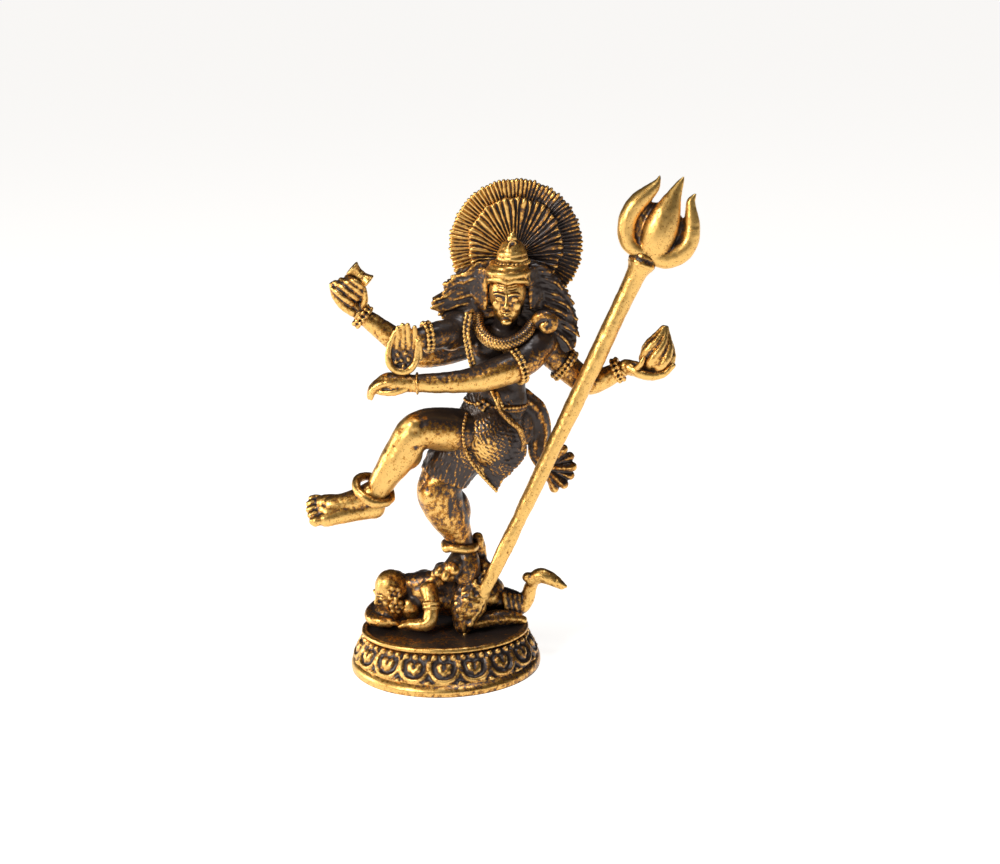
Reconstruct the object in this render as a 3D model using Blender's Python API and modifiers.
"""A small brass dancing-lord statue, built as castings and wax-built trim that are brazed together.

Run it with: blender --background --python part.py

Frame: origin at the middle of the pedestal's flat underside, +Z up, and the figure faces -Y.
The figure's own right side is at -X. Lengths are given in millimetres and turned to metres by MM.
"""

import math

import bmesh
import bpy
from mathutils import Matrix, Vector

MM = 0.001
BRAZE_GAP = 0.32 * MM  # clearance left between two castings, where the braze runs

# Pedestal: an oval lotus stand.
PEDESTAL_HALF_WIDTH = 19.6 * MM
PEDESTAL_DEPTH_RATIO = 0.91
PEDESTAL_TOP_DEPTH_RATIO = 0.74  # the stand leans in more at its front and back than at its ends
PEDESTAL_FLANGE = 1.1 * MM
PEDESTAL_HEIGHT = 7.8 * MM
PEDESTAL_STEPS = 48

# Figure: the levels that the poses below are drawn around.
FIGURE_Y = 2.0
PELVIS = (7.6, FIGURE_Y, 49.0)
WAIST = (9.4, FIGURE_Y, 56.0)
CHEST = (12.6, FIGURE_Y, 64.5)
NECK = (13.5, 1.4, 70.5)
HEAD = (14.2, -0.2, 77.2)
HEAD_HALF_SIZE = (3.8, 4.0, 5.3)

# Halo: two pleated fans behind the head.
BACK_FAN_CENTRE = (16.1, 7.0, 85.8)
BACK_FAN_RADIUS = 13.3
BACK_FAN_PLEATS = 34
FRONT_FAN_CENTRE = (16.0, 5.0, 86.3)
FRONT_FAN_RADIUS = 9.5
FRONT_FAN_PLEATS = 22
FAN_THICKNESS = 1.3
FAN_TOOTH = 0.45

# Trident: its foot stands in a socket in the pedestal's top.
TRIDENT_FOOT = Vector((3.5, -3.6, 6.2))
TRIDENT_COLLAR = Vector((40.5, 1.5, 82.6))
TRIDENT_SHAFT_RADIUS = 1.75
TRIDENT_SPIKE_RADIUS = 0.9
TRIDENT_SPIKE_LENGTH = 12.0
TRIDENT_COLLAR_RADIUS = 2.9
PRONG_HEIGHT = 16.4

TUBE_SIDES_STEP = 2  # a curve's bevel_resolution: 8 sides
TUBE_RINGS_STEP = 3  # rings between two named points of a limb

BRASS = {"bright": (0.83, 0.60, 0.24), "aged": (0.34, 0.23, 0.12), "worn": (0.62, 0.43, 0.18)}
PARTS_COLLECTION = "brass_dancing_figure_statue"


def clear_scene():
    """Removes every object that the start-up scene holds."""
    for obj in list(bpy.data.objects):
        bpy.data.objects.remove(obj)


def point(x, y, z):
    """A place given in millimetres, in metres."""
    return Vector((x, y, z)) * MM


def brass(shade):
    """The Principled material of one shade of brass."""
    name = "brass_" + shade
    material = bpy.data.materials.get(name)
    if material is None:
        material = bpy.data.materials.new(name)
        material.use_nodes = True
        shader = material.node_tree.nodes["Principled BSDF"]
        shader.inputs["Base Color"].default_value = (*BRASS[shade], 1.0)
        shader.inputs["Metallic"].default_value = 1.0
        shader.inputs["Roughness"].default_value = 0.38
    return material


def collection():
    """The collection that holds the statue's pieces."""
    found = bpy.data.collections.get(PARTS_COLLECTION)
    if found is None:
        found = bpy.data.collections.new(PARTS_COLLECTION)
        bpy.context.scene.collection.children.link(found)
    return found


def loose_object(name, mesh):
    """A new object that holds this mesh, not yet one of the statue's pieces."""
    obj = bpy.data.objects.new(name, mesh)
    bpy.context.scene.collection.objects.link(obj)
    return obj


def evaluated_mesh(obj):
    """The object's mesh in world space, with its modifiers applied."""
    bpy.context.view_layer.update()
    graph = bpy.context.evaluated_depsgraph_get()
    mesh = bpy.data.meshes.new_from_object(obj.evaluated_get(graph))
    mesh.transform(obj.matrix_world)
    return mesh


def welded(mesh):
    """Merges the seams of a mesh, drops all but its largest body and points its faces out."""
    bm = bmesh.new()
    bm.from_mesh(mesh)
    bmesh.ops.remove_doubles(bm, verts=bm.verts, dist=0.002 * MM)
    bmesh.ops.dissolve_degenerate(bm, dist=0.002 * MM, edges=bm.edges)
    bodies = []
    unseen = set(bm.faces)
    while unseen:
        body, front = [], [unseen.pop()]
        while front:
            face = front.pop()
            body.append(face)
            linked = {other for edge in face.edges for other in edge.link_faces} & unseen
            unseen -= linked
            front.extend(linked)
        bodies.append(body)
    if not bodies:
        raise ValueError(mesh.name + " is cut away altogether: move it, or make it larger")
    bodies.sort(key=lambda faces: sum(face.calc_area() for face in faces))
    small = [face for body in bodies[:-1] for face in body]
    bmesh.ops.delete(bm, geom=small, context="FACES")
    bmesh.ops.recalc_face_normals(bm, faces=bm.faces)
    bm.to_mesh(mesh)
    bm.free()
    return mesh


def solid_from(obj):
    """Turns an object of any kind into one that holds a plain closed mesh."""
    mesh = welded(evaluated_mesh(obj))
    name = obj.name
    bpy.data.objects.remove(obj)
    return loose_object(name, mesh)


def boolean(obj, other, operation):
    """Applies a Boolean of two closed meshes, removes the other one and returns the result."""
    modifier = obj.modifiers.new(operation.lower(), "BOOLEAN")
    modifier.object = other
    modifier.operation = operation
    modifier.use_self = True
    result = solid_from(obj)
    bpy.data.objects.remove(other)
    return result


def swollen_copy(obj, margin):
    """A copy of a piece whose surface stands out by a margin, to cut a neighbour with."""
    mesh = obj.data.copy()
    mesh.transform(obj.matrix_world)
    shifts = [vert.normal * margin for vert in mesh.vertices]
    for vert, shift in zip(mesh.vertices, shifts):
        vert.co += shift
    return loose_object(obj.name + "_cutter", mesh)


def box_of(obj, margin=0.0):
    """The lowest and highest corner of an object's vertices, moved out by a margin."""
    corners = [obj.matrix_world @ vert.co for vert in obj.data.vertices]
    low = [min(corner[k] for corner in corners) - margin for k in range(3)]
    high = [max(corner[k] for corner in corners) + margin for k in range(3)]
    return low, high


def near(obj, other):
    """Whether two objects' boxes come within a braze gap of each other."""
    low_a, high_a = box_of(obj, BRAZE_GAP)
    low_b, high_b = box_of(other)
    return all(low_a[k] < high_b[k] and low_b[k] < high_a[k] for k in range(3))


def add_piece(obj, shade):
    """Fits a finished shape against the pieces already there and makes it one of the statue's."""
    name = obj.name
    bpy.context.view_layer.update()
    for neighbour in list(collection().objects):
        if near(obj, neighbour):
            obj = boolean(obj, swollen_copy(neighbour, BRAZE_GAP), "DIFFERENCE")
    obj.name = name
    obj.data.name = name
    obj.data.materials.clear()
    obj.data.materials.append(brass(shade))
    obj.data.shade_smooth()
    obj.data.set_sharp_from_angle(angle=math.radians(40))
    for holder in obj.users_collection:
        holder.objects.unlink(obj)
    collection().objects.link(obj)
    return obj


def rounded(points):
    """A limb's points with a short dome added past each end."""
    first, second = Vector(points[0][:3]), Vector(points[1][:3])
    last, before = Vector(points[-1][:3]), Vector(points[-2][:3])
    start_radius, end_radius = points[0][3], points[-1][3]
    start = first + (first - second).normalized() * start_radius * 0.55
    end = last + (last - before).normalized() * end_radius * 0.55
    return [(*start, start_radius * 0.6), *points, (*end, end_radius * 0.6)]


def limb(name, points, flatten=1.0, domed=True, rings=TUBE_RINGS_STEP):
    """A round bar through points of (x, y, z, radius) in millimetres, its Y radius times flatten."""
    points = rounded(points) if domed else points
    curve = bpy.data.curves.new(name, "CURVE")
    curve.dimensions = "3D"
    curve.bevel_depth = MM
    curve.bevel_resolution = TUBE_SIDES_STEP
    curve.resolution_u = rings
    curve.use_fill_caps = True
    spline = curve.splines.new("BEZIER")
    spline.bezier_points.add(len(points) - 1)
    spline.radius_interpolation = "CARDINAL"
    for bezier, (x, y, z, radius) in zip(spline.bezier_points, points):
        bezier.co = point(x, y, z)
        bezier.radius = radius
        bezier.handle_left_type = bezier.handle_right_type = "AUTO"
    obj = bpy.data.objects.new(name, curve)
    bpy.context.scene.collection.objects.link(obj)
    solid = solid_from(obj)
    middle = sum(p[1] for p in points) / len(points) * MM
    squash = Matrix.Diagonal((1.0, flatten, 1.0, 1.0))
    to_middle = Matrix.Translation((0.0, middle, 0.0))
    solid.data.transform(to_middle @ squash @ to_middle.inverted())
    return solid


def ellipsoid(name, centre, half_size, tilt=(0.0, 0.0, 0.0), segments=16, rings=10):
    """A ball stretched to half sizes in millimetres and turned by angles in degrees."""
    bpy.ops.mesh.primitive_uv_sphere_add(segments=segments, ring_count=rings, radius=1.0)
    obj = bpy.context.object
    obj.name = name
    obj.scale = Vector(half_size) * MM
    obj.rotation_euler = [math.radians(angle) for angle in tilt]
    obj.location = point(*centre)
    return solid_from(obj)


def ring(name, centre, axis, radius, thickness, segments=18, sides=7):
    """A round band about an axis through its centre, sizes in millimetres."""
    bpy.ops.mesh.primitive_torus_add(
        major_radius=radius * MM,
        minor_radius=thickness * MM,
        major_segments=segments,
        minor_segments=sides,
    )
    obj = bpy.context.object
    obj.name = name
    obj.rotation_mode = "QUATERNION"
    obj.rotation_quaternion = Vector(axis).to_track_quat("Z", "Y")
    obj.location = point(*centre)
    return solid_from(obj)


def turned(name, profile, steps, centre=(0.0, 0.0, 0.0)):
    """A turned shape about +Z from a profile of (radius, height) in millimetres, top to bottom."""
    mesh = bpy.data.meshes.new(name)
    verts = [point(radius, 0.0, height) for radius, height in profile]
    mesh.from_pydata(verts, [(i, i + 1) for i in range(len(verts) - 1)], [])
    obj = loose_object(name, mesh)
    screw = obj.modifiers.new("turn", "SCREW")
    screw.steps = screw.render_steps = steps
    screw.use_merge_vertices = True
    screw.merge_threshold = 0.005 * MM
    obj.location = point(*centre)
    return solid_from(obj)


def toothed_outline(radius, teeth, depth):
    """The outline of a fan's rim in the XZ plane, a high and a low point for each pleat."""
    outline = []
    for step in range(2 * teeth):
        angle = math.pi * step / teeth
        reach = radius - (depth if step % 2 else 0.0)
        outline.append((reach * math.cos(angle), reach * math.sin(angle)))
    return outline


def flat_plate(name, outline, thickness, centre):
    """A plate with an outline of (x, z) points in millimetres, upright and facing -Y."""
    curve = bpy.data.curves.new(name, "CURVE")
    curve.dimensions = "2D"
    curve.fill_mode = "BOTH"
    curve.extrude = thickness / 2 * MM
    spline = curve.splines.new("POLY")
    spline.points.add(len(outline) - 1)
    spline.use_cyclic_u = True
    for place, (x, z) in zip(spline.points, outline):
        place.co = (x * MM, z * MM, 0.0, 1.0)
    obj = bpy.data.objects.new(name, curve)
    bpy.context.scene.collection.objects.link(obj)
    obj.rotation_euler.x = math.radians(90)
    obj.location = point(*centre)
    return solid_from(obj)


def smooth_outline(points, steps=3):
    """Rounds a closed outline with a Catmull-Rom curve through its points."""
    count = len(points)
    result = []
    for i in range(count):
        before, start, end, after = (Vector(points[(i + k) % count]) for k in (-1, 0, 1, 2))
        for step in range(steps):
            t = step / steps
            cubic = (-before + 3 * start - 3 * end + after) * t**3
            square = (2 * before - 5 * start + 4 * end - after) * t**2
            result.append(tuple(0.5 * (cubic + square + (end - before) * t + 2 * start)))
    return result


def build_trident():
    """The staff, its collar and the three-pronged head."""
    along = (TRIDENT_COLLAR - TRIDENT_FOOT).normalized()
    spike_top = TRIDENT_FOOT + along * TRIDENT_SPIKE_LENGTH
    spike = (*TRIDENT_FOOT, TRIDENT_SPIKE_RADIUS)
    swell = (*spike_top, TRIDENT_SHAFT_RADIUS)
    neck = (*(TRIDENT_COLLAR - along * 0.6), TRIDENT_SHAFT_RADIUS + 0.15)
    add_piece(limb("trident_shaft", [spike, swell, neck], domed=False, rings=1), "bright")

    quarter = Vector(along).to_track_quat("Z", "Y")
    profile = [(0.0, 1.9), (2.2, 1.9), (2.9, 1.3), (2.9, 0.6), (2.3, -0.6), (0.0, -0.6)]
    collar = turned("trident_collar", profile, 16)
    collar.data.transform(Matrix.Translation(TRIDENT_COLLAR * MM) @ quarter.to_matrix().to_4x4())
    add_piece(collar, "aged")

    side = Vector((along.z, 0.0, -along.x)).normalized()

    def on_head(across, up):
        """A place on the head's plane, across and up from the collar's top."""
        return TRIDENT_COLLAR + along * (2.3 + up) + side * across

    def prong(name, route):
        """A prong through places given as (across, up, radius)."""
        return limb(name, [(*on_head(across, up), radius) for across, up, radius in route])

    height = PRONG_HEIGHT
    leaf = [(0.2, -0.2, 1.7), (0.3, 2.4, 2.4), (0.2, 5.6, 3.2), (0.1, 9.6, 2.4), (0.0, 13.2, 1.3), (0.0, height - 0.5, 0.4)]
    left = [(-0.8, 0.2, 1.3), (-3.4, -0.2, 1.35), (-5.7, 1.6, 1.3), (-6.9, 4.6, 1.3), (-6.3, 7.8, 1.3), (-4.9, 10.4, 1.15), (-4.2, 13.6, 0.4)]
    right = [(1.4, 0.0, 1.4), (4.6, 0.7, 1.45), (7.0, 3.0, 1.55), (6.9, 6.2, 1.6), (5.7, 8.8, 1.5), (4.2, 11.0, 1.2), (3.5, 13.2, 0.5)]
    head = prong("prong_middle", leaf)
    for name, route in (("prong_left", left), ("prong_right", right)):
        head = boolean(head, prong(name, route), "UNION")
    web = [on_head(across, up) for across, up in ((0, -0.4), (-5.0, 1.2), (-6.2, 4.6), (-3.6, 11.0), (0, 12.0), (3.4, 10.4), (6.2, 5.4), (5.0, 1.4))]
    web_plate = flat_plate("web", smooth_outline([(place.x, place.z) for place in web], 2), 1.5, (0.0, 2.0, 0.0))
    head = boolean(head, web_plate, "UNION")
    head.name = "trident_head"
    add_piece(head, "bright")


def build_pedestal():
    """The oval lotus stand, solid cast, with a flat underside."""
    edge = PEDESTAL_HALF_WIDTH / MM
    height = PEDESTAL_HEIGHT / MM
    profile = [
        (0.0, height),
        (edge - 4.0, height),
        (edge - 3.2, height + 0.4),
        (edge - 2.7, height + 0.4),
        (edge - 2.3, height),
        (edge - 2.4, height - 0.9),
        (edge - 2.9, height - 1.3),
        (edge - 2.6, height - 2.4),
        (edge - 1.0, height - 4.2),
        (edge - 0.5, height - 5.4),
        (edge - 0.9, height - 6.3),
        (edge, height - 6.7),
        (edge, 0.3),
        (edge - 0.3, 0.0),
        (0.0, 0.0),
    ]
    pedestal = turned("lotus_pedestal", profile, PEDESTAL_STEPS)
    for vertex in pedestal.data.vertices:
        rise = max(0.0, vertex.co.z - PEDESTAL_FLANGE) / (PEDESTAL_HEIGHT - PEDESTAL_FLANGE)
        vertex.co.y *= PEDESTAL_DEPTH_RATIO + (PEDESTAL_TOP_DEPTH_RATIO - PEDESTAL_DEPTH_RATIO) * rise
    add_piece(pedestal, "worn")


def build_dwarf():
    """The dwarf who lies face down under the dancer's foot, his head at -X."""
    trunk = [(-4.4, 5.0, 13.0, 4.3), (1.5, 4.8, 12.8, 4.5), (7.0, 4.6, 13.4, 4.3), (10.0, 4.4, 12.6, 3.4)]
    add_piece(limb("dwarf_trunk", trunk), "aged")
    add_piece(ellipsoid("dwarf_head", (-11.2, 3.8, 13.9), (4.3, 3.9, 4.2), (0, -14, 0)), "worn")
    near_arm = [(-2.8, -0.6, 15.4, 1.6), (-2.6, -2.8, 12.0, 1.6), (-3.0, -3.6, 9.8, 1.5), (-6.2, -3.7, 9.7, 1.2), (-10.8, -3.4, 9.3, 1.1)]
    add_piece(limb("dwarf_near_arm", near_arm), "bright")
    far_arm = [(-9.4, 9.4, 11.4, 1.5), (-14.2, 7.8, 10.8, 1.5), (-16.2, 3.8, 9.8, 1.2), (-15.6, 0.4, 9.2, 1.1), (-13.2, -1.6, 9.2, 0.9)]
    add_piece(limb("dwarf_far_arm", far_arm), "worn")
    near_leg = [(6.8, 0.4, 17.2, 2.9), (5.2, -1.6, 14.2, 3.7), (4.0, -2.6, 10.6, 2.3)]
    add_piece(limb("dwarf_near_thigh", near_leg), "aged")
    near_shin = [(6.0, -2.0, 9.6, 1.3), (11.0, -1.0, 9.9, 1.5), (15.6, -0.2, 9.4, 1.2)]
    add_piece(limb("dwarf_near_shin", near_shin), "aged")
    far_leg = [
        (11.6, 4.2, 11.8, 2.7),
        (15.0, 4.0, 11.0, 2.6),
        (17.2, 3.2, 13.4, 1.5),
        (18.4, 2.4, 16.6, 1.3),
        (20.6, 1.6, 18.0, 1.4),
        (25.2, 1.0, 15.8, 0.7),
    ]
    add_piece(limb("dwarf_far_leg", far_leg), "worn")


def build_hips_and_trunk():
    """The tiger skin round the hips, the bare trunk, its belt and the hanging sash."""
    belt = ring("belt", (11.6, 2.0, 55.4), (0.1, 0.0, 1.0), 5.7, 0.8, segments=24)
    belt.data.transform(Matrix.Translation((0.0, 0.5 * MM, 0.0)) @ Matrix.Diagonal((1.0, 0.75, 1.0, 1.0)))
    add_piece(belt, "worn")
    skirt = [(11.0, 2.2, 54.2, 6.3), (9.2, 1.9, 49.6, 7.0), (4.2, 1.7, 44.8, 6.2), (0.8, 1.0, 40.6, 4.6)]
    hips = limb("tiger_skin_skirt", skirt, flatten=0.8)
    flap = smooth_outline([(5.4, 48.0), (8.0, 52.0), (14.6, 51.2), (17.2, 46.0), (14.4, 41.8), (11.2, 37.2), (8.4, 41.4), (6.2, 45.4)])
    hips = boolean(hips, flat_plate("flap", flap, 3.4, (0.0, -1.0, 0.0)), "UNION")
    hips.name = "tiger_skin_skirt"
    add_piece(hips, "aged")

    trunk = [(11.8, 2.0, 56.2, 6.0), (12.0, 2.0, 59.0, 5.6), (12.8, 2.2, 63.8, 6.6), (13.4, 2.2, 67.0, 6.8), (13.5, 1.6, 70.8, 2.7)]
    add_piece(limb("trunk", trunk, flatten=0.7), "aged")

    sash = [(17.4, 3.4, 55.2, 1.6), (19.8, 4.2, 52.4, 1.9), (20.6, 4.8, 48.2, 1.9), (19.8, 5.0, 43.6, 1.7), (21.4, 5.0, 41.0, 1.5)]
    add_piece(limb("sash", sash, flatten=0.7), "aged")
    add_piece(flat_plate("sash_fan", toothed_outline(4.5, 11, 0.6), 2.2, (23.0, 5.0, 39.4)), "worn")


def build_legs():
    """The leg that the figure stands on, the raised leg, their feet and anklets."""
    add_piece(ring("raised_anklet", (-13.2, -5.0, 39.4), (0.45, -0.32, 0.83), 3.8, 0.9), "bright")
    raised = [(6.8, 0.0, 49.4, 4.5), (1.5, -1.6, 50.6, 4.5), (-4.8, -3.8, 51.3, 4.1), (-8.0, -4.4, 47.0, 3.9), (-11.6, -4.9, 41.2, 2.7), (-12.6, -4.9, 39.4, 2.6)]
    add_piece(limb("raised_leg", raised), "bright")
    foot = [(-13.4, -4.8, 36.9, 2.9), (-16.8, -5.2, 36.9, 3.1), (-21.6, -5.8, 35.9, 3.2), (-25.2, -6.0, 35.8, 2.7)]
    add_piece(limb("raised_foot", foot, flatten=0.9), "bright")

    add_piece(ring("standing_anklet", (3.6, 1.5, 25.0), (0.1, 0.1, 1.0), 3.1, 0.8), "bright")
    standing = [(1.4, 1.2, 43.0, 4.5), (-0.3, -0.1, 37.6, 4.6), (1.5, 0.5, 31.8, 4.1), (3.3, 1.5, 27.2, 3.0), (3.7, 1.6, 25.4, 2.8)]
    add_piece(limb("standing_leg", standing), "worn")
    foot = [(4.6, 2.4, 21.8, 2.7), (2.4, 0.9, 22.0, 2.7), (0.0, -0.6, 20.4, 2.4), (-1.0, -1.6, 18.8, 1.8)]
    add_piece(limb("standing_foot", foot), "aged")
    post = [(7.0, 3.4, 18.2, 1.4), (7.3, 3.3, 22.0, 1.5), (7.3, 3.0, 26.2, 1.3)]
    add_piece(limb("ankle_support_post", post, domed=False, rings=1), "aged")


def build_head():
    """The head, the hair bun on it, its bead ring and the crown band."""
    add_piece(ring("crown_band", (14.9, 0.4, 81.8), (0.06, -0.14, 1.0), 4.0, 1.05), "bright")
    add_piece(ellipsoid("head", HEAD, HEAD_HALF_SIZE, (8, 3, 0)), "bright")
    bun = [(0.0, 7.6), (0.9, 7.4), (1.2, 6.6), (1.0, 5.8), (2.0, 4.8), (3.1, 3.0), (3.4, 1.4), (3.0, 0.4), (0.0, 0.3)]
    cone = turned("hair_bun", bun, 16, (15.4, 0.8, 82.6))
    add_piece(cone, "bright")
    add_piece(ring("bun_bead_ring", (15.3, 0.7, 84.2), (0.04, -0.1, 1.0), 3.4, 0.5), "worn")


def build_halo_and_hair():
    """The two pleated fans and the hair that streams out to each side."""
    fans = (
        ("halo_back_fan", BACK_FAN_CENTRE, BACK_FAN_RADIUS, BACK_FAN_PLEATS),
        ("halo_front_fan", FRONT_FAN_CENTRE, FRONT_FAN_RADIUS, FRONT_FAN_PLEATS),
    )
    for name, centre, radius, pleats in fans:
        outline = toothed_outline(radius, pleats, FAN_TOOTH)
        add_piece(flat_plate(name, outline, FAN_THICKNESS, centre), "worn")

    right = [(10.6, 80.6), (6.4, 80.6), (1.8, 79.4), (0.2, 76.8), (-0.8, 74.6), (1.4, 73.0), (5.0, 72.0), (9.8, 72.4)]
    left = [(18.0, 80.0), (22.4, 79.4), (25.2, 77.0), (26.6, 73.2), (27.5, 69.6), (26.8, 65.8), (24.8, 66.4), (22.4, 70.8), (18.4, 72.4)]
    for name, outline in (("hair_locks_right", right), ("hair_locks_left", left)):
        add_piece(flat_plate(name, smooth_outline(outline), 2.6, (0.0, 2.7, 0.0)), "aged")


def build_arms():
    """The four arms with their bands and hands, and what two of the hands hold."""
    bands = (
        ("drum_bracelet", (-13.4, 4.1, 71.9), (-0.77, 0.0, 0.64), 2.3, 0.6),
        ("blessing_bracelet", (-1.4, -3.9, 69.4), (0.9, 0.4, 0.0), 2.6, 0.6),
        ("sweeping_armlet", (15.6, -3.8, 63.0), (0.8, 0.5, 0.34), 3.1, 0.6),
        ("sweeping_bracelet", (-3.6, -5.9, 61.3), (1.0, 0.0, 0.0), 1.9, 0.5),
        ("flame_armlet", (25.6, 4.2, 62.0), (0.7, 0.0, -0.6), 3.0, 0.6),
        ("flame_bracelet", (36.2, 3.4, 61.3), (0.9, -0.1, 0.4), 2.2, 0.55),
    )
    for name, centre, axis, radius, thickness in bands:
        add_piece(ring(name, centre, axis, radius, thickness), "worn")

    drum_arm = [(6.2, 4.0, 66.6, 3.0), (1.0, 4.5, 64.6, 2.6), (-3.6, 4.6, 64.4, 2.6), (-8.6, 4.5, 67.9, 2.4), (-14.0, 4.1, 72.4, 1.9)]
    add_piece(limb("drum_arm", drum_arm), "worn")
    add_piece(ellipsoid("drum_hand", (-17.1, 4.0, 77.2), (3.5, 2.7, 3.9), (0, -36, 0)), "worn")
    skins = [(0.0, 2.5), (2.0, 2.5), (2.1, 2.0), (1.0, 0.2), (1.0, -0.2), (2.1, -2.0), (2.0, -2.5), (0.0, -2.5)]
    drum = turned("hand_drum", skins, 14)
    drum.data.transform(Matrix.Translation(point(-14.9, 3.6, 81.4)) @ Matrix.Rotation(math.radians(52), 4, "Y"))
    add_piece(drum, "bright")

    blessing = [(5.6, 0.6, 69.8, 2.9), (3.2, -1.0, 69.2, 2.8), (-0.8, -3.6, 69.4, 2.4), (-3.0, -4.6, 69.2, 2.0)]
    add_piece(limb("blessing_arm", blessing), "aged")
    add_piece(ellipsoid("blessing_hand", (-6.2, -6.2, 68.2), (3.5, 1.5, 5.3), (-6, 6, 0)), "bright")

    sweeping = [(20.4, 0.6, 66.8, 3.4), (16.2, -3.4, 63.2, 2.9), (9.2, -5.4, 61.7, 2.7), (2.4, -5.8, 61.4, 2.3), (-4.0, -5.9, 61.3, 1.8)]
    add_piece(limb("sweeping_arm", sweeping), "bright")
    droop = [(-6.2, -5.9, 61.2, 1.9), (-10.4, -5.8, 61.2, 1.9), (-13.1, -5.7, 58.4, 0.7)]
    add_piece(limb("sweeping_hand", droop), "bright")

    flame_arm = [(21.6, 4.2, 66.2, 3.1), (26.6, 4.2, 61.2, 2.8), (30.6, 4.2, 59.0, 2.7), (36.6, 3.4, 61.4, 1.9)]
    add_piece(limb("flame_arm", flame_arm), "aged")
    cup = [(38.6, 2.9, 61.4, 1.5), (41.2, 2.2, 60.4, 1.8), (44.2, 2.0, 60.5, 1.8), (46.4, 2.0, 62.0, 1.0)]
    add_piece(limb("flame_hand", cup), "bright")
    tongue = [(0.0, 8.6), (0.7, 7.6), (1.7, 5.4), (3.3, 2.9), (3.6, 1.4), (2.4, 0.0), (0.0, -0.2)]
    flame = turned("flame", tongue, 14)
    lean = Matrix.Rotation(math.radians(14), 4, "Y") @ Matrix.Diagonal((1.0, 0.75, 1.0, 1.0))
    flame.data.transform(Matrix.Translation(point(43.1, 2.0, 62.2)) @ lean)
    add_piece(flame, "bright")


def build_snakes():
    """The snake collar, the snake's head on the shoulder and the sacred thread."""
    collar = [(8.6, 3.4, 73.4, 1.0), (8.5, -0.8, 71.2, 1.1), (10.6, -3.4, 69.0, 1.2), (13.6, -4.2, 68.6, 1.2), (17.2, -2.6, 69.9, 1.1), (19.2, -0.4, 71.8, 1.1), (21.4, -0.6, 72.4, 1.5)]
    add_piece(limb("snake_collar", collar), "worn")
    chest_run = [(6.3, -1.8, 72.6, 0.7), (6.6, -3.4, 69.2, 0.9), (7.4, -4.0, 65.4, 0.9)]
    add_piece(limb("chest_thread", chest_run), "worn")
    tail = [(11.4, -3.0, 58.0, 0.9), (12.8, -3.8, 55.2, 0.9), (16.2, -4.4, 52.5, 0.8), (18.0, -4.2, 50.1, 0.7), (17.7, -3.8, 47.2, 0.45)]
    add_piece(limb("belly_thread", tail), "worn")


def main():
    """Builds the statue. A piece built later is cut clear of those before it."""
    clear_scene()
    build_trident()
    build_pedestal()
    build_hips_and_trunk()
    build_legs()
    build_dwarf()
    build_head()
    build_arms()
    build_halo_and_hair()
    build_snakes()


main()
